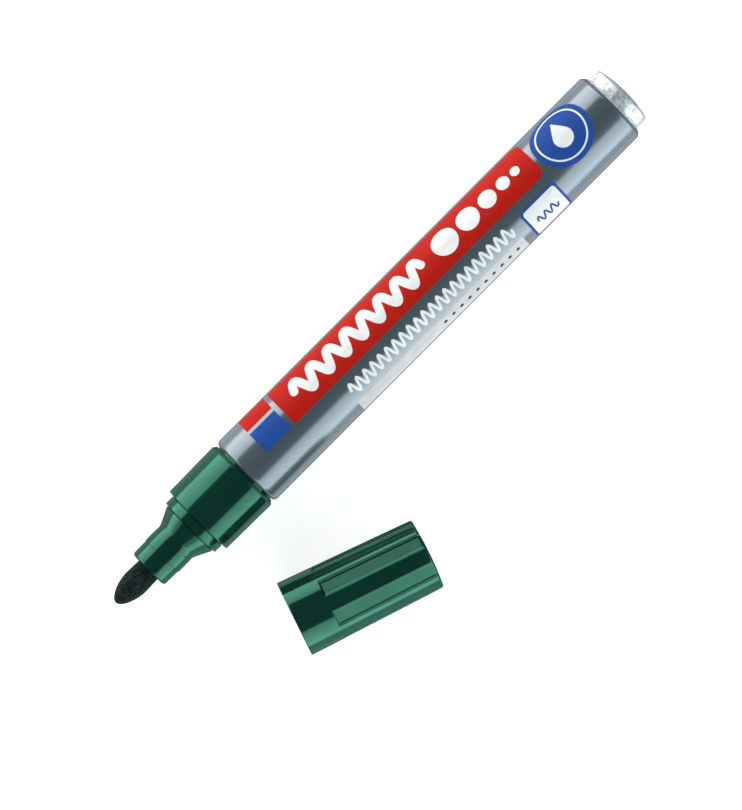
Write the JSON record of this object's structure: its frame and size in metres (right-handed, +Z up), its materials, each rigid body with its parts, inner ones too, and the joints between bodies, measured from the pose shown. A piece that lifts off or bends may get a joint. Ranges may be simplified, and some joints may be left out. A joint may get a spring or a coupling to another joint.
{
  "type": "whiteboard marker",
  "caption": "Bullet-nib whiteboard marker lying uncapped: metal barrel, green stepped front section, replaceable fibre nib, and a fluted green cap lying beside it.",
  "frame": {"origin": "middle of the space that the marker and its cap cover, on the surface they lie on", "axes": "+X along the marker from nib to rear, +Z up, +Y away from the cap"},
  "size_m": [0.1336, 0.0486, 0.0152],
  "materials": {
    "lacquered_aluminium": "satin",
    "bare_aluminium": "satin",
    "green_plastic": "gloss",
    "nib_felt": "matte",
    "reservoir_fibre": "matte",
    "wrap_film": "satin",
    "seal_plastic": "satin",
    "print_red": "satin",
    "print_blue": "satin",
    "print_white": "satin",
    "print_dark": "satin"
  },
  "bodies": {
    "marker": {"barrel": "lacquered_aluminium", "front_section": "green_plastic", "ink_reservoir": "reservoir_fibre", "reservoir_wrap": "wrap_film"},
    "nib": {"nib": "nib_felt"},
    "cap": {"cap_shell": "green_plastic", "cap_inner_seal": "seal_plastic"}
  },
  "joints": [
    {"name": "nib_pull", "type": "slide", "parent": "marker", "child": "nib", "axis": [-1, 0, 0], "range_m": [0, 0.025]},
    {"name": "cap_swing", "type": "hinge", "parent": "marker", "child": "cap", "pos_m": [-0.05514, 0.00579, 0.0076], "axis": [0.0102, 0.0025, 0.9999], "range_deg": [-161.16, 0]}
  ]
}
